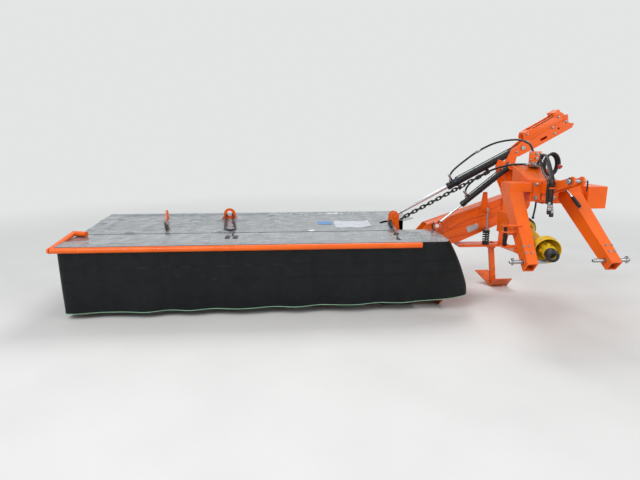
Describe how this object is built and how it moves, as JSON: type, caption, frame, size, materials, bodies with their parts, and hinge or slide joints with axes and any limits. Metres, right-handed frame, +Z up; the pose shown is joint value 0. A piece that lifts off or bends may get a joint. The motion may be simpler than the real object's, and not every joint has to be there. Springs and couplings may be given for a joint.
{
  "type": "rear-mounted disc mower",
  "caption": "Folding farm mower: a headstock with a three-point hitch and mast, a lifting arm, a long bar of spinning cutting discs under a fabric cover, and a stand.",
  "frame": {"origin": "on the ground, at the middle of the bounding box seen from above", "axes": "+Z up, -Y towards the tractor, +X from the outer end of the cutterbar towards the hitch"},
  "size_m": [4.5993, 1.9832, 1.6418],
  "materials": {
    "orange_paint": "gloss enamel over steel",
    "black_paint": "satin black paint",
    "zinc_steel": "zinc plated",
    "chrome_rod": "hard chrome, polished",
    "worn_steel": "hardened steel, worn",
    "hose_rubber": "extruded rubber",
    "grip_rubber": "moulded grip",
    "canvas": "coated fabric, wet",
    "guard_plastic": "moulded polyethylene"
  },
  "bodies": {
    "root": {"headstock": "orange_paint", "hitch_pins": "zinc_steel", "top_link_plates": "orange_paint", "mast": "orange_paint", "end_box": "orange_paint", "valve_block": "zinc_steel", "hand_lever": "grip_rubber", "stand_beam": "orange_paint", "leg_bracket": "orange_paint", "input_gearbox": "orange_paint", "pto_guard": "guard_plastic", "lift_hose": "hose_rubber", "relief_hose": "hose_rubber", "hose_loops": "hose_rubber", "arm_pin": "zinc_steel"},
    "stand": {"stand_leg": "orange_paint"},
    "arm": {"arm_beam": "orange_paint", "drive_guard": "black_paint", "bar_pin": "zinc_steel", "relief_spring": "black_paint"},
    "lift_pin": {"lift_pin": "zinc_steel", "limit_chain": "black_paint"},
    "lift_barrel": {"lift_barrel": "black_paint"},
    "lift_rod": {"lift_rod": "chrome_rod"},
    "relief_barrel": {"relief_barrel": "black_paint"},
    "relief_rod": {"relief_rod": "chrome_rod"},
    "bar": {"gear_bed": "orange_paint", "skids": "worn_steel", "shoes": "orange_paint", "bar_gearbox": "orange_paint", "carrier_beam": "orange_paint", "cylinder_bracket": "orange_paint", "cover_frame": "orange_paint", "cover_posts": "orange_paint", "cover_brackets": "orange_paint", "canvas_rear_top": "canvas", "canvas_rear_skirt": "canvas"},
    "front_guard": {"guard_tube": "orange_paint", "canvas_front_top": "canvas", "canvas_front_skirt": "canvas"},
    "disc_1": {"disc_1": "orange_paint"},
    "disc_2": {"disc_2": "worn_steel"},
    "disc_3": {"disc_3": "worn_steel"},
    "disc_4": {"disc_4": "worn_steel"},
    "disc_5": {"disc_5": "worn_steel"},
    "disc_6": {"disc_6": "worn_steel"},
    "disc_7": {"disc_7": "orange_paint"},
    "pto": {"pto_shaft": "guard_plastic"}
  },
  "joints": [
    {"name": "arm_lift", "type": "hinge", "parent": "root", "child": "arm", "pos_m": [1.755, 0.36, 0.82], "axis": [0, 1, 0], "range_deg": [0, 14], "deforming": ["relief_spring"]},
    {"name": "bar_fold", "type": "hinge", "parent": "arm", "child": "bar", "pos_m": [0.795, 0.36, 0.45], "axis": [0, 1, 0], "range_deg": [0, 90]},
    {"name": "cover_fold", "type": "hinge", "parent": "bar", "child": "front_guard", "pos_m": [0, 0.19, 0.6], "axis": [1, 0, 0], "range_deg": [-90, 0]},
    {"name": "stand_slide", "type": "slide", "parent": "root", "child": "stand", "axis": [-0.1219, 0, 0.9925], "range_m": [0, 0.13]},
    {"name": "lift_pin_turn", "type": "hinge", "parent": "root", "child": "lift_pin", "pos_m": [1.81, 0.503, 1.33], "axis": [0, 1, 0], "range_deg": [-1, 12.43]},
    {"name": "lift_barrel_swing", "type": "hinge", "parent": "lift_pin", "child": "lift_barrel", "pos_m": [1.81, 0.503, 1.33], "axis": [0, 1, 0], "range_deg": [-15.94, 1], "deforming": ["lift_hose", "limit_chain"]},
    {"name": "lift_rod_slide", "type": "slide", "parent": "lift_barrel", "child": "lift_rod", "axis": [0.8826, 0, 0.4702], "range_m": [-0.01, 0.4496]},
    {"name": "relief_barrel_swing", "type": "hinge", "parent": "root", "child": "relief_barrel", "pos_m": [1.595, 0.232, 1.175], "axis": [0, 1, 0], "range_deg": [-1, 14], "deforming": ["relief_hose"]},
    {"name": "relief_rod_slide", "type": "slide", "parent": "relief_barrel", "child": "relief_rod", "axis": [0.7734, 0, 0.6339], "range_m": [-0.01, 0.1039]},
    {"name": "disc_1_spin", "type": "hinge", "parent": "bar", "child": "disc_1", "pos_m": [0.495, -0.01, 0.106], "axis": [0, 0, 1], "continuous": true},
    {"name": "disc_2_spin", "type": "hinge", "parent": "bar", "child": "disc_2", "pos_m": [0.095, -0.01, 0.106], "axis": [0, 0, 1], "continuous": true},
    {"name": "disc_3_spin", "type": "hinge", "parent": "bar", "child": "disc_3", "pos_m": [-0.305, -0.01, 0.106], "axis": [0, 0, 1], "continuous": true},
    {"name": "disc_4_spin", "type": "hinge", "parent": "bar", "child": "disc_4", "pos_m": [-0.705, -0.01, 0.106], "axis": [0, 0, 1], "continuous": true},
    {"name": "disc_5_spin", "type": "hinge", "parent": "bar", "child": "disc_5", "pos_m": [-1.105, -0.01, 0.106], "axis": [0, 0, 1], "continuous": true},
    {"name": "disc_6_spin", "type": "hinge", "parent": "bar", "child": "disc_6", "pos_m": [-1.505, -0.01, 0.106], "axis": [0, 0, 1], "continuous": true},
    {"name": "disc_7_spin", "type": "hinge", "parent": "bar", "child": "disc_7", "pos_m": [-1.905, -0.01, 0.106], "axis": [0, 0, 1], "continuous": true},
    {"name": "pto_spin", "type": "hinge", "parent": "root", "child": "pto", "pos_m": [1.505, -0.28, 0.712], "axis": [-0.1792, -0.9772, -0.114], "continuous": true}
  ],
  "couplings": [
    {"joint": "lift_pin_turn", "follows": "arm_lift", "ratio": 0.81611},
    {"joint": "lift_barrel_swing", "follows": "bar_fold", "ratio": -0.16604},
    {"joint": "lift_rod_slide", "follows": "bar_fold", "m_per_rad": 0.27988},
    {"joint": "relief_barrel_swing", "follows": "arm_lift", "ratio": 0.92876},
    {"joint": "relief_rod_slide", "follows": "arm_lift", "m_per_rad": 0.3841},
    {"joint": "disc_2_spin", "follows": "disc_1_spin", "ratio": -1},
    {"joint": "disc_3_spin", "follows": "disc_1_spin", "ratio": 1},
    {"joint": "disc_4_spin", "follows": "disc_1_spin", "ratio": -1},
    {"joint": "disc_5_spin", "follows": "disc_1_spin", "ratio": 1},
    {"joint": "disc_6_spin", "follows": "disc_1_spin", "ratio": -1},
    {"joint": "disc_7_spin", "follows": "disc_1_spin", "ratio": 1},
    {"joint": "pto_spin", "follows": "disc_1_spin", "ratio": 0.18}
  ]
}
